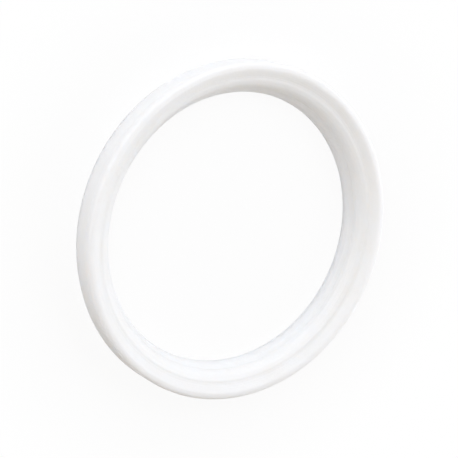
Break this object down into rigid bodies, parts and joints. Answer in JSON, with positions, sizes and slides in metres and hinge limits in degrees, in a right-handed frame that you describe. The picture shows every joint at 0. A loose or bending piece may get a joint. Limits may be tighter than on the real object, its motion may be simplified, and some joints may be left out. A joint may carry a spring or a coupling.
{
  "type": "sealing ring",
  "caption": "White moulded sealing ring with a raised, rounded lip, a narrow land at its foot, a sloping seat that steps down to a ledge, and a straight bore.",
  "frame": {"origin": "centre of the flat back face, on the bore's axis", "axes": "+Z along the bore's axis, from the flat back face towards the lip"},
  "size_m": [0.0618, 0.0618, 0.0056],
  "materials": {
    "silicone": "satin"
  },
  "bodies": {
    "root": {"sealing_ring": "silicone"}
  },
  "joints": []
}
